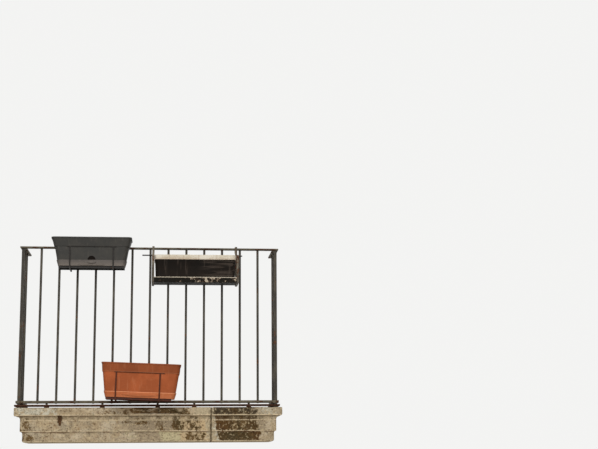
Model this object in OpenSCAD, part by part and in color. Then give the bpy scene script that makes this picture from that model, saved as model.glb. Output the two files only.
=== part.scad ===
// Shallow iron balcony: a moulded stone slab in two pieces, a wrought iron
// railing with two short returns, and three planting troughs hung on it.
// Millimetres, +Z up, the front faces -Y. The wall plane is y = 0 and the
// origin is the centre of the slab's face on the wall.

/* [Slab] */
// Width of the slab over its fascia
slab_w = 1668; // [1664:1:2000]
// How far the slab stands out from the wall
slab_d = 346; // [346:1:420]
// Height of the plain fascia at the top of the slab's edge
fascia_h = 52; // [40:1:70]
// Height of the hollow moulding and the frieze under the fascia
frieze_h = 96; // [60:1:120]
// Height of the set-back band at the bottom of the edge
band_h = 66; // [40:1:90]
// Step inwards right under the fascia
fascia_step = 15; // [8:1:20]
// Radius of the hollow moulding under that step
hollow_r = 22; // [12:1:30]
// Step inwards from the frieze to the bottom band
band_step = 13; // [6:1:20]
// Radius of the rounded lower edge of the bottom band
edge_r = 13; // [6:1:20]
// Place of the joint between the two stones, from the slab's middle
joint_x = 385; // [200:1:480]
// Width of the mortar joint
joint_w = 5; // [3:0.5:8]
// How far the mortar lies behind the stone's face
mortar_set = 3; // [1:0.5:6]

/* [Railing] */
// Distance from the slab's left end to the middle of the left corner post
left_end = 27; // [27:1:60]
// Distance from the slab's right end to the middle of the right corner post
right_end = 41; // [27:1:60]
// Distance from the slab's front to the middle line of the front railing
post_front = 28; // [27:1:50]
// Number of gaps between the bars of the front
front_gaps = 14; // [12:1:16]
// Number of gaps between the bars of a return
side_gaps = 3; // [2:1:4]
// Side of the square corner posts
post_s = 18; // [16:1:20]
// Side of the square bars
bar_s = 14; // [12:1:16]
// Chamfer along the edges of posts and bars
bar_bevel = 1.5; // [1:0.25:2.5]
// Chamfer along the edges of the rails' flat bars
flat_bevel = 2; // [1:0.25:3]
// Height of the handrail's top face above the slab
rail_top = 1012; // [950:1:1100]
// Width of the handrail's flat bar
top_w = 38; // [34:1:44]
// Thickness of the handrail's flat bar
top_t = 10; // [8:1:12]
// Width of the bottom rail
low_w = 36; // [34:1:40]
// Thickness of the bottom rail
low_t = 16; // [12:1:18]
// Height of the bottom rail's underside above the slab
low_z = 26; // [25:1:30]
// Width of the sill bar on the slab
sill_w = 50; // [40:1:52]
// Thickness of the sill bar
sill_t = 12; // [10:1:13]
// Height of the packing pieces that hold the sill bar off the slab
packer_h = 6; // [4:1:6]
// Number of packing pieces under the front sill bar
packers = 5; // [4:1:8]
// Diameter of the round tenons at the ends of the bars
tenon_d = 9; // [8:0.5:10]
// Diameter of a riveted tenon head
head_d = 15; // [13:0.5:17]
// Height of a riveted tenon head
head_h = 3; // [2:0.5:4]
// Diameter of the round foot of a post in its leaded socket
foot_d = 16; // [14:0.5:18]
// Stone left between a post's socket and the fascia's lower edge
socket_floor = 12; // [8:1:16]
// Thickness of the lead round a post's foot
lead_t = 7; // [5:0.5:9]

/* [Grey trough] */
// Place of the grey trough's middle, from the railing's middle
grey_x = -363; // [-480:1:-300]
// Height of its rim above the slab
grey_top = 1044; // [1030:1:1060]
// Its height
grey_h = 176; // [160:1:200]
// Its length at the rim
grey_len = 497; // [440:1:560]
// How far its ends lean in over the height of the rim
grey_flare = 17; // [8:1:22]
// Radius of the half-round notch low in its front
notch_r = 25; // [15:1:35]

/* [Brown trough] */
// Place of the brown trough's middle, from the railing's middle
brown_x = 282; // [250:1:320]
// Height of its rim above the slab
brown_top = 936; // [900:1:980]
// Its height
brown_h = 164; // [140:1:180]
// Its length at the rim
brown_len = 512; // [460:1:540]
// Height of its pale rim
pale_h = 29; // [20:1:36]

/* [Orange trough] */
// Place of the orange trough's middle, from the railing's middle
orange_x = -52; // [-90:1:-20]
// Height of its rim above the slab
orange_top = 261; // [255:1:400]
// Its height
orange_h = 210; // [180:1:212]
// Its length at the rim
orange_len = 488; // [440:1:540]
// How far its ends lean in over the height of the rim
orange_flare = 7; // [4:1:14]
// Angle at which it hangs out of level, in degrees
orange_tilt = 2.2; // [0:0.1:3]
// Place of its holder's middle, from its own middle
orange_holder_x = -16; // [-20:1:20]

/* [All troughs] */
// Depth of a trough from back to front at the rim
trough_d = 188; // [170:1:210]
// Wall thickness of a trough
trough_wall = 3; // [2.5:0.5:4]
// Corner radius of a trough, seen from above
corner_r = 26; // [8:1:30]
// Height of the rim band
rim_h = 56; // [40:1:60]
// How far the rim band stands out from the wall below it
rim_lip = 3; // [2:0.5:5]
// How far the lip at the very top stands out from the rim band
lip_out = 3; // [2:0.5:5]
// Height of that lip
lip_h = 7; // [4:1:12]
// Height of the water tray under a trough
tray_h = 38; // [30:1:44]
// Depth of the soil below the rim
soil_drop = 24; // [15:1:35]
// Distance between the two straps of a trough holder
strap_gap = 267; // [220:1:300]
// Width of a holder's strap
strap_w = 8; // [6:1:12]
// Thickness of a holder's strap
strap_t = 4; // [3:0.5:5]
// Height of the two bars under a trough
bearer_h = 14; // [10:1:16]

/* [Hidden] */

iron = [0.24, 0.21, 0.19];
rusty_iron = [0.30, 0.20, 0.15];
stone = [0.63, 0.57, 0.47];

fit = 0.3;                                   // gap left round a tenon or a loose seat
cut = 1;                                     // how far a cutting shape runs past a face
slab_h = fascia_h + frieze_h + band_h;
deck = slab_h / 2;                           // the slab's top, from the origin
socket_deep = fascia_h - socket_floor;       // depth of a post's socket in the stone
post_span = slab_w - left_end - right_end;
rail_x = (left_end - right_end) / 2;         // the railing's middle, from the slab's
rail_out = slab_d - post_front;              // from the wall to the front railing
post_x = post_span / 2;
bar_pitch = post_span / front_gaps;
side_pitch = rail_out / side_gaps;
sill_z = packer_h;
spacer_h = low_z - sill_z - sill_t;
under_top = rail_top - top_t;
bar_z = low_z + low_t;
rail_face = -(rail_out + top_w / 2);         // the handrail's front face
socket_d = foot_d + 2 * (fit + lead_t + fit);
hook_lift = head_h + fit;                    // how far a hook clears the handrail's top
pad_w = (top_w - head_d) / 2 - 2 * fit;      // width of the pad a hook rests on
hook_drop = 18;                              // how far a hook's end reaches below the handrail
packer_len = 28;
packer_in = 4;                               // how far a packer stands back under the sill bar

// Puts what is drawn from the slab's top at its height.
module on_slab() translate([0, 0, deck]) children();

// The same for what is drawn from the railing's middle.
module on_rail() translate([rail_x, 0, deck]) children();

// Slab

// Half of the slab's edge profile: across is the distance from the wall or
// the middle to the fascia's face, and the top of the slab is at zero.
module edge_profile(across) {
    frieze = across - fascia_step - hollow_r;
    band = frieze - band_step;
    translate([0, -fascia_h]) square([across, fascia_h]);
    translate([0, -fascia_h - frieze_h]) square([frieze, frieze_h]);
    difference() {
        translate([0, -fascia_h - hollow_r]) square([across - fascia_step, hollow_r]);
        translate([across - fascia_step, -fascia_h - hollow_r]) circle(r = hollow_r, $fn = 64);
    }
    translate([0, edge_r - slab_h]) square([band, band_h - edge_r]);
    translate([0, -slab_h]) square([band - edge_r, band_h]);
    translate([band - edge_r, edge_r - slab_h]) circle(r = edge_r, $fn = 64);
}

// The whole slab with its moulding mitred round both front corners.
module slab_body(set_back = 0) {
    intersection() {
        rotate([90, 0, -90])
            linear_extrude(height = slab_w, center = true) edge_profile(slab_d - set_back);
        rotate([90, 0, 0]) linear_extrude(height = slab_d) {
            edge_profile(slab_w / 2 - set_back);
            mirror([1, 0]) edge_profile(slab_w / 2 - set_back);
        }
    }
}

// The space between two places across the slab.
module slab_slice(from, to) {
    translate([from, -slab_d - cut, -slab_h - cut])
        cube([to - from, slab_d + 2 * cut, slab_h + 2 * cut]);
}

module post_socket(side) {
    translate([rail_x + side * post_x, -rail_out, -socket_deep])
        cylinder(d = socket_d, h = socket_deep + cut, $fn = 48);
}

module slab_left_stone() color(stone) on_slab() difference() {
    intersection() {
        slab_body();
        slab_slice(-slab_w, joint_x - joint_w / 2);
    }
    post_socket(-1);
}

module slab_right_stone() color(stone) on_slab() difference() {
    intersection() {
        slab_body();
        slab_slice(joint_x + joint_w / 2, slab_w);
    }
    post_socket(1);
}

module slab_mortar_joint() color([0.45, 0.41, 0.35]) on_slab() intersection() {
    slab_body(mortar_set);
    slab_slice(joint_x - joint_w / 2, joint_x + joint_w / 2);
}

// Railing

// A hole through a rail of thickness t, for a bar's tenon.
module tenon_hole(t) translate([0, 0, -cut]) cylinder(d = tenon_d + 2 * fit, h = t + 2 * cut, $fn = 32);

// A square hole through a rail of thickness t, for a corner post.
module post_hole(t) {
    side = post_s + 2 * fit;
    translate([-side / 2, -side / 2, -cut]) cube([side, side, t + 2 * cut]);
}

module each_front_bar() for (i = [1 : front_gaps - 1])
    translate([i * bar_pitch - post_x, -rail_out, 0]) children();

module each_side_bar(side) for (i = [1 : side_gaps - 1])
    translate([side * post_x, i * side_pitch - rail_out, 0]) children();

module each_post() for (side = [-1, 1]) translate([side * post_x, -rail_out, 0]) children();

// Section of a flat bar w wide and t thick with chamfered edges, centred on
// the first axis and standing on zero.
module flat_section(w, t) {
    b = flat_bevel;
    polygon([[-w / 2 + b, 0], [w / 2 - b, 0], [w / 2, b], [w / 2, t - b],
             [w / 2 - b, t], [-w / 2 + b, t], [-w / 2, t - b], [-w / 2, b]]);
}

// A flat bar along the front, its lower half cut away where it laps over the
// returns.
module front_flat(w, t) difference() {
    translate([0, -rail_out, 0]) rotate([90, 0, 90])
        linear_extrude(height = post_span + w, center = true) flat_section(w, t);
    for (side = [-1, 1])
        translate([side * post_x - w / 2 - (side < 0 ? cut : 0), -rail_out - w / 2 - cut, -cut])
            cube([w + cut, w + 2 * cut, t / 2 + cut]);
}

// The matching flat bar of a return, from the wall to under the front one.
module side_flat(side, w, t) difference() {
    translate([side * post_x, 0, 0]) rotate([90, 0, 0])
        linear_extrude(height = rail_out + w / 2) flat_section(w, t);
    translate([side * post_x - w / 2 - cut, -rail_out - w / 2 - cut, t / 2])
        cube([w + 2 * cut, w + cut, t / 2 + cut]);
}

module sill_bar_front() color(rusty_iron) on_rail() translate([0, 0, sill_z]) difference() {
    front_flat(sill_w, sill_t);
    each_post() post_hole(sill_t);
}

module sill_side(side) color(rusty_iron) on_rail() translate([0, 0, sill_z]) difference() {
    side_flat(side, sill_w, sill_t);
    each_post() post_hole(sill_t);
}

module sill_bar_left() sill_side(-1);
module sill_bar_right() sill_side(1);

module bottom_rail_front() color(rusty_iron) on_rail() translate([0, 0, low_z]) difference() {
    front_flat(low_w, low_t);
    each_post() post_hole(low_t);
    each_front_bar() tenon_hole(low_t);
}

module bottom_side(side) color(rusty_iron) on_rail() translate([0, 0, low_z]) difference() {
    side_flat(side, low_w, low_t);
    each_post() post_hole(low_t);
    each_side_bar(side) tenon_hole(low_t);
}

module bottom_rail_left() bottom_side(-1);
module bottom_rail_right() bottom_side(1);

module top_rail_front() color(iron) on_rail() translate([0, 0, under_top]) difference() {
    front_flat(top_w, top_t);
    each_post() tenon_hole(top_t);
    each_front_bar() tenon_hole(top_t);
}

module top_side(side) color(iron) on_rail() translate([0, 0, under_top]) difference() {
    side_flat(side, top_w, top_t);
    each_post() tenon_hole(top_t);
    each_side_bar(side) tenon_hole(top_t);
}

module top_rail_left() top_side(-1);
module top_rail_right() top_side(1);

// A square bar with bevelled edges, standing on z = 0.
module square_bar(s, h) linear_extrude(height = h) {
    b = s / 2 - bar_bevel;
    polygon([[-b, -s / 2], [b, -s / 2], [s / 2, -b], [s / 2, b],
             [b, s / 2], [-b, s / 2], [-s / 2, b], [-s / 2, -b]]);
}

// A low domed rivet head, flat side down on z = 0.
module rivet_head() {
    r = (head_d * head_d / 4 + head_h * head_h) / (2 * head_h);
    intersection() {
        translate([0, 0, head_h - r]) sphere(r = r, $fn = 64);
        cylinder(d = head_d, h = head_h, $fn = 48);
    }
}

// One bar: shouldered on both rails, its tenons riveted outside them.
module railing_bar() {
    translate([0, 0, bar_z]) square_bar(bar_s, under_top - bar_z);
    translate([0, 0, low_z]) cylinder(d = tenon_d, h = rail_top - low_z, $fn = 32);
    translate([0, 0, rail_top]) rivet_head();
    translate([0, 0, low_z]) mirror([0, 0, 1]) rivet_head();
}

module front_bars() color(iron) on_rail() each_front_bar() railing_bar();
module left_bars() color(iron) on_rail() each_side_bar(-1) railing_bar();
module right_bars() color(iron) on_rail() each_side_bar(1) railing_bar();

// A corner post runs through the bottom rail and the sill bar into the slab.
module corner_post(side) color(iron) on_rail() translate([side * post_x, -rail_out, 0]) {
    square_bar(post_s, under_top);
    translate([0, 0, -socket_deep]) cylinder(d = foot_d, h = socket_deep + cut, $fn = 48);
    translate([0, 0, under_top - cut]) cylinder(d = tenon_d, h = top_t + cut, $fn = 32);
    translate([0, 0, rail_top]) rivet_head();
}

module corner_post_left() corner_post(-1);
module corner_post_right() corner_post(1);

module post_leads() color([0.42, 0.43, 0.44]) on_rail() each_post() difference() {
    translate([0, 0, -socket_deep])
        cylinder(d = foot_d + 2 * (fit + lead_t), h = socket_deep, $fn = 48);
    translate([0, 0, -socket_deep - cut])
        cylinder(d = foot_d + 2 * fit, h = socket_deep + 2 * cut, $fn = 48);
}

// Places along the front for packers and spacers, midway between two bars.
function midway(i, count) = (floor((i + 0.5) * front_gaps / count) + 0.5) * bar_pitch - post_x;

module sill_packers() color([0.36, 0.35, 0.34]) on_rail() {
    across = sill_w - 2 * packer_in;
    for (i = [0 : packers - 1])
        translate([midway(i, packers), -rail_out, packer_h / 2])
            cube([packer_len, across, packer_h], center = true);
    for (side = [-1, 1])
        translate([side * post_x, -1.5 * side_pitch, packer_h / 2])
            cube([across, packer_len, packer_h], center = true);
}

module rail_spacers() color(rusty_iron) on_rail() translate([0, 0, sill_z + sill_t]) {
    for (i = [0 : packers - 1])
        translate([midway(i, packers), -rail_out, 0]) cylinder(d = bar_s, h = spacer_h, $fn = 32);
    for (side = [-1, 1])
        translate([side * post_x, -1.5 * side_pitch, 0]) cylinder(d = bar_s, h = spacer_h, $fn = 32);
}

// Troughs, each drawn with the bottom of its tray at z = 0 and its middle
// on the Z axis.

module plan(l, d, r) {
    square([l - 2 * r, d], center = true);
    square([l, d - 2 * r], center = true);
    for (x = [-1, 1], y = [-1, 1])
        translate([x * (l / 2 - r), y * (d / 2 - r)]) circle(r = r, $fn = 24);
}

// A block with rounded corners that is in0 smaller all round than l by d at
// height z0, and in1 smaller at z1.
module block(l, d, z0, in0, z1, in1) translate([0, 0, z0])
    linear_extrude(height = z1 - z0, slices = 1, segments = 0,
            scale = [(l - 2 * in1) / (l - 2 * in0), (d - 2 * in1) / (d - 2 * in0)])
        plan(l - 2 * in0, d - 2 * in0, corner_r);

body_in = 15;                                // how much a trough's wall leans in below its rim
tray_in = 10;                                // how much its tray leans in
tray_floor = 3;
tray_gap = 0.4;                              // gap between trough and tray
tray_reveal = 2;                             // how far the tray's edge lies under the trough's bend
bearer_in = 6;                               // how far the bars under a trough stand in
wire_over = 20;                              // how far the wire under the rim passes a strap

function waist(flare) = flare + rim_lip;     // inset of the wall at the rim's lower edge
function low_wall(flare) = waist(flare) + body_in;

// Form of a trough's body up to the rim, made smaller all round by inset.
module body_form(l, h, flare, inset, floor_z) {
    block(l, trough_d, floor_z, low_wall(flare) + tray_in + inset, tray_h, low_wall(flare) + inset);
    block(l, trough_d, tray_h, low_wall(flare) + inset, h - rim_h, waist(flare) + inset);
}

// What a trough holds, with a gap left round it.
module inner_form(l, h, flare, gap) {
    inset = trough_wall + gap;
    body_form(l, h, flare, inset, tray_floor + trough_wall);
    block(l, trough_d, h - rim_h, waist(flare) + inset, h + cut, lip_out + inset);
}

module trough(l, h, flare) difference() {
    union() {
        body_form(l, h, flare, 0, tray_floor);
        block(l, trough_d, h - rim_h, flare, h - lip_h, lip_out);
        block(l, trough_d, h - lip_h, 0, h, 0);
    }
    inner_form(l, h, flare, 0);
}

module tray(l, flare) {
    rise = tray_h - tray_reveal;
    difference() {
        block(l, trough_d, 0, low_wall(flare) + tray_in - trough_wall - tray_gap,
              rise, low_wall(flare) - trough_wall - tray_gap);
        block(l, trough_d, tray_floor, low_wall(flare) + tray_in - tray_gap,
              rise + cut, low_wall(flare) - tray_gap);
    }
}

module soil(l, h, flare) intersection() {
    inner_form(l, h, flare, fit);
    translate([0, 0, h / 2 - soil_drop]) cube([l, trough_d, h], center = true);
}

// A strip of thickness t along a path in the plane of the cross-section,
// its bends rounded on the outside.
module bent_strip(path, t) {
    for (i = [0 : len(path) - 2]) {
        step = path[i + 1] - path[i];
        translate(path[i]) rotate(atan2(step[1], step[0]))
            translate([0, -t / 2]) square([norm(step), t]);
    }
    for (i = [1 : len(path) - 2]) translate(path[i]) circle(d = t, $fn = 24);
}

// Section of the pad between a hook and the handrail, in front of the rivet
// heads. low is the height that the section is drawn from.
module hook_pad(low) translate([rail_face, rail_top + low]) square([pad_w, hook_lift + strap_t / 2]);

// Extrudes a section of (y, z) along X, w wide, about x = 0.
module across_x(w) rotate([90, 0, 90]) linear_extrude(height = w, center = true) children();

// The part of a holder strap that goes down behind a trough, under it and up
// its front. y_back is the strap's centre line behind the trough, y_mid the
// trough's middle, h its height and flare its rim's lean.
function strap_path(y_back, y_mid, h, flare) = [
    [y_back, -bearer_h - strap_t / 2],
    [y_mid - (trough_d / 2 - low_wall(flare) - tray_in + 1.5 * strap_t), -bearer_h - strap_t / 2],
    [y_mid - (trough_d / 2 - low_wall(flare) - tray_in + 1.5 * strap_t), 0],
    [y_mid - (trough_d / 2 - low_wall(flare) + 1.6 * strap_t), tray_h],
    [y_mid - (trough_d / 2 - waist(flare) + strap_t), h - rim_h - strap_t / 2 - fit]];

// Two bars under the trough and a wire under its rim, which join the straps.
module holder_bars(y_mid, l, h, flare) {
    half = l / 2 - low_wall(flare) - tray_in;
    reach = trough_d / 2 - low_wall(flare) - tray_in - strap_t / 2;
    for (s = [-1, 1]) translate([-half, y_mid + s * (reach - bearer_in) - strap_t / 2, -bearer_h])
        cube([2 * half, strap_t, bearer_h]);
    translate([0, y_mid - (trough_d / 2 - waist(flare) + strap_t), h - rim_h - strap_t / 2 - fit])
        rotate([0, 90, 0]) cylinder(d = strap_t, h = strap_gap + 2 * wire_over, center = true, $fn = 24);
}

// Grey trough, hooked over the handrail

grey_z = grey_top - grey_h;
grey_back = rail_face - strap_t / 2;
grey_mid = rail_face - strap_t - fit - trough_d / 2;

module at_grey() on_rail() translate([grey_x, 0, grey_z]) children();

module grey_trough() color([0.28, 0.27, 0.27]) at_grey() translate([0, grey_mid, 0]) difference() {
    trough(grey_len, grey_h, grey_flare);
    translate([0, -trough_d / 2, tray_h - tray_reveal]) rotate([-90, 0, 0])
        cylinder(r = notch_r, h = trough_d / 2, $fn = 48);
}

module grey_tray() color([0.36, 0.34, 0.33]) at_grey() translate([0, grey_mid, 0])
    tray(grey_len, grey_flare);

module grey_soil() color([0.16, 0.12, 0.09]) at_grey() translate([0, grey_mid, 0])
    soil(grey_len, grey_h, grey_flare);

module grey_holder() color([0.12, 0.12, 0.12]) at_grey() {
    hook_y = -rail_out + top_w / 2 + fit + strap_t / 2;
    over = rail_top + hook_lift - grey_z + strap_t / 2;
    for (s = [-1, 1]) translate([s * strap_gap / 2, 0, 0]) across_x(strap_w) {
        bent_strip(concat([[hook_y, under_top - hook_drop - grey_z], [hook_y, over], [grey_back, over]],
                          strap_path(grey_back, grey_mid, grey_h, grey_flare)), strap_t);
        hook_pad(-grey_z);
    }
    holder_bars(grey_mid, grey_len, grey_h, grey_flare);
}

// Brown trough in an iron rack

rack_t = 5;
rack_w = 14;
rack_gap = 1;                                // gap between the trough and the rack's frames
kerb_h = 32;
kerb_in = 20;                                // how far the kerb's lower leg reaches under the trough
kerb_fillet = 3;
slat_t = 4;
slat_w = 26;
slat_pitch = 44;
slats = 4;
brown_z = brown_top - brown_h;
rack_z = brown_z - slat_t;                   // top of the rack's bottom arms
rack_x = brown_len / 2 + rack_gap + rack_w / 2;    // middle of an end frame
brown_back = rail_face - rack_t - rack_gap;
brown_mid = brown_back - trough_d / 2;
brown_taper = 7;
pale_out = 3;                                // how far the pale rim stands out
rack_room = 4;                               // gap between the trough and the kerb
rack_front = brown_back - trough_d - rack_room;    // back face of the rack's front
rod_d = 8;
rod_drop = 50;                               // how far the rod lies below the handrail's top
rod_left = 70;                               // how far it runs past the left end frame
rod_right = 40;
rod_z = rail_top - rod_drop;
rod_y = rail_face + rod_d / 2;               // against the backs of the end frames

module at_brown() on_rail() translate([brown_x, 0, 0]) children();

module brown_box(inset, z0, z1, in0, in1) translate([0, brown_mid, 0])
    block(brown_len - 2 * pale_out, trough_d - 2 * pale_out, z0, in0 + inset, z1, in1 + inset);

module brown_trough() color([0.20, 0.15, 0.13]) at_brown() difference() {
    brown_box(0, brown_z, brown_top - pale_h, brown_taper, 1);
    brown_box(trough_wall, brown_z + trough_wall, brown_top - pale_h + cut, brown_taper, 1);
}

module brown_trough_rim() color([0.72, 0.67, 0.60]) at_brown() difference() {
    translate([0, brown_mid, 0]) block(brown_len, trough_d, brown_top - pale_h, 1, brown_top, 0);
    brown_box(trough_wall, brown_top - pale_h - cut, brown_top + cut, 1, 1);
}

module brown_soil() color([0.16, 0.12, 0.09]) at_brown()
    brown_box(trough_wall + fit, brown_z + trough_wall, brown_top - pale_h - 2, brown_taper, 1);

module rack_end(side) color([0.30, 0.28, 0.26]) at_brown() {
    hook_y = -rail_out + top_w / 2 + fit + rack_t / 2;
    back_y = rail_face - rack_t / 2;
    front_y = rack_front - rack_t / 2;
    over = rail_top + hook_lift + rack_t / 2;
    arm_z = rack_z - rack_t / 2;
    translate([side * rack_x, 0, 0]) across_x(rack_w) {
        bent_strip([[hook_y, under_top - hook_drop], [hook_y, over], [back_y, over],
                    [back_y, arm_z], [front_y, arm_z], [front_y, brown_top]], rack_t);
        hook_pad(0);
    }
}

module rack_end_left() rack_end(-1);
module rack_end_right() rack_end(1);

// An angle iron between the end frames, under the front slat and before the
// trough, with its inner corner rounded.
module rack_kerb() color([0.34, 0.30, 0.27]) at_brown()
    translate([0, rack_front - rack_t, rack_z - rack_t]) across_x(2 * rack_x - rack_w - 2 * fit) {
        square([rack_t, kerb_h]);
        square([kerb_in, rack_t]);
        translate([rack_t, rack_t]) difference() {
            square(kerb_fillet);
            translate([kerb_fillet, kerb_fillet]) circle(r = kerb_fillet, $fn = 32);
        }
    }

module rack_slats() color([0.30, 0.28, 0.26]) at_brown() {
    reach = rack_x + rack_w / 2;
    for (i = [0 : slats - 1])
        translate([-reach, brown_mid - slat_w / 2 + (i - (slats - 1) / 2) * slat_pitch, rack_z])
            cube([2 * reach, slat_w, slat_t]);
}

module rack_back_rod() color([0.12, 0.12, 0.12]) at_brown()
    translate([-rack_x - rod_left, rod_y, rod_z]) rotate([0, 90, 0])
        cylinder(d = rod_d, h = 2 * rack_x + rod_left + rod_right, $fn = 24);

// Orange trough, clamped to the bars low down and hanging out of level

orange_z = orange_top - orange_h;
low_face = -(rail_out + low_w / 2);          // the bottom rail's front face
orange_back = low_face - fit - strap_t / 2;
orange_mid = low_face - fit - strap_t - fit - trough_d / 2;
bars_front = -(rail_out + bar_s / 2);
bars_back = -(rail_out - bar_s / 2);
clamp_h = 22;
clamp_low = 40;                              // the clamp's lower edge, below the rim
clamp_over = 60;                             // how far the clamp runs past a strap
clamp_z = orange_h - clamp_low;
clamp_len = strap_gap + 2 * clamp_over;
bolt_d = 6;
bolt_x = 100;
bolt_head = 4;
bolt_nut = 5;
bolt_end = 14;                               // how far a bolt runs past the bars' backs

module at_orange() on_rail() translate([orange_x, 0, orange_z])
    rotate([0, orange_tilt, 0]) children();

module orange_trough() color([0.72, 0.36, 0.20]) at_orange() translate([0, orange_mid, 0])
    trough(orange_len, orange_h, orange_flare);

module orange_tray() color([0.78, 0.42, 0.24]) at_orange() translate([0, orange_mid, 0])
    tray(orange_len, orange_flare);

module orange_soil() color([0.16, 0.12, 0.09]) at_orange() translate([0, orange_mid, 0])
    soil(orange_len, orange_h, orange_flare);

module orange_holder() color([0.25, 0.12, 0.08]) at_orange() {
    for (s = [-1, 1]) translate([orange_holder_x + s * strap_gap / 2, 0, 0]) across_x(strap_w)
        bent_strip(concat([[orange_back, clamp_z + clamp_h]],
                          strap_path(orange_back, orange_mid, orange_h, orange_flare)), strap_t);
    translate([orange_holder_x / 2, 0, 0])
        holder_bars(orange_mid, orange_len + orange_holder_x, orange_h, orange_flare);
}

// The clamp's two bars, in front of the railing's bars and behind them.
module orange_clamp() color(iron) at_orange() translate([orange_holder_x, 0, clamp_z]) difference() {
    union() {
        translate([-clamp_len / 2, low_face - fit, 0])
            cube([clamp_len, bars_front - low_face + fit, clamp_h]);
        translate([-clamp_len / 2, bars_back, 0]) cube([clamp_len, strap_t, clamp_h]);
    }
    for (s = [-1, 1]) translate([s * bolt_x, low_face - 2 * fit - cut, clamp_h / 2]) rotate([-90, 0, 0])
        cylinder(d = bolt_d + 2 * fit, h = bars_back - low_face + strap_t + 3 * cut, $fn = 24);
}

module clamp_bolts() color([0.35, 0.33, 0.31]) at_orange()
    for (s = [-1, 1])
        translate([orange_holder_x + s * bolt_x, 0, clamp_z + clamp_h / 2]) rotate([-90, 0, 0]) {
            translate([0, 0, low_face - fit - bolt_head])
                cylinder(d = 2 * bolt_d, h = bolt_head, $fn = 6);
            translate([0, 0, low_face - fit - cut])
                cylinder(d = bolt_d, h = bars_back - low_face + bolt_end, $fn = 24);
            translate([0, 0, bars_back + strap_t]) cylinder(d = 2 * bolt_d, h = bolt_nut, $fn = 6);
        }

slab_left_stone();
slab_right_stone();
slab_mortar_joint();
sill_packers();
sill_bar_front();
sill_bar_left();
sill_bar_right();
rail_spacers();
bottom_rail_front();
bottom_rail_left();
bottom_rail_right();
top_rail_front();
top_rail_left();
top_rail_right();
corner_post_left();
corner_post_right();
post_leads();
front_bars();
left_bars();
right_bars();
grey_trough();
grey_tray();
grey_soil();
grey_holder();
brown_trough();
brown_trough_rim();
brown_soil();
rack_end_left();
rack_end_right();
rack_kerb();
rack_slats();
rack_back_rod();
orange_trough();
orange_tray();
orange_soil();
orange_holder();
orange_clamp();
clamp_bolts();
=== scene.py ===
"""Finishes of a shallow iron balcony: weathered stone slab, old painted railing, three planting troughs.

Every size is in metres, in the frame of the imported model: +Z up, the front faces -Y, and the wall
plane is y = 0. The slab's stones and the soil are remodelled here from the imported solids, and three
thin swellings are added to the troughs' trays. Every other solid keeps its mesh and gets its finish.
"""
import logging
import math
import random
from collections.abc import Iterable
from dataclasses import dataclass
from enum import Enum
from functools import partial, reduce

import bmesh
import bpy
from mathutils import Matrix, Vector, noise
from mathutils.bvhtree import BVHTree


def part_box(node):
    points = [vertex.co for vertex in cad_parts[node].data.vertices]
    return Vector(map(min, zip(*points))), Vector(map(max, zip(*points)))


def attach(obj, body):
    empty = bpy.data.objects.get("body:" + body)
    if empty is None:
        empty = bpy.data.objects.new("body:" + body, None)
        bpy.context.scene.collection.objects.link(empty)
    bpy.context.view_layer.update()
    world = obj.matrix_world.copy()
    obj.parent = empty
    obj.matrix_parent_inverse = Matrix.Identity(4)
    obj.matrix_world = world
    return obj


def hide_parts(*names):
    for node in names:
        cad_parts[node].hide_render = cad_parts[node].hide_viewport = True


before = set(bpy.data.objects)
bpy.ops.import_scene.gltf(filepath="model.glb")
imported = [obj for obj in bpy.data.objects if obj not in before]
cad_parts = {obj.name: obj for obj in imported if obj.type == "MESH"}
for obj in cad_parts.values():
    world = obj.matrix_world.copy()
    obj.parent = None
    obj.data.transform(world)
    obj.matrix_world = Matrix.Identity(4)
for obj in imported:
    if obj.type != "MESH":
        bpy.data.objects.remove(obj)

LOG = logging.getLogger("balcony")
ROOT = "root"
MERGE_WITHIN = 1e-5

Colour = tuple[float, float, float]
Stretch = tuple[float, float, float]
Mesh = bmesh.types.BMesh
Material = bpy.types.Material
Socket = bpy.types.NodeSocket
Source = Socket | float
Paint = Socket | Colour


def linear(level: int) -> float:
    """Turns a level of colour from 0 to 255, as a screen shows it, into its scene-linear value."""
    share = level / 255
    return share / 12.92 if share <= 0.04045 else ((share + 0.055) / 1.055) ** 2.4


def srgb(red: int, green: int, blue: int) -> Colour:
    """Turns a colour as a screen shows it, in levels from 0 to 255, into scene-linear values."""
    return linear(red), linear(green), linear(blue)


class Axis(Enum):
    """An axis of the part's frame, by the name of its output on a Separate XYZ node."""

    ACROSS = "X"
    OUT = "Y"
    UP = "Z"


class Mixing(Enum):
    """Ways of laying one colour over another."""

    OVER = "MIX"
    DARKEN = "MULTIPLY"
    LIGHTEN = "SCREEN"


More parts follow.
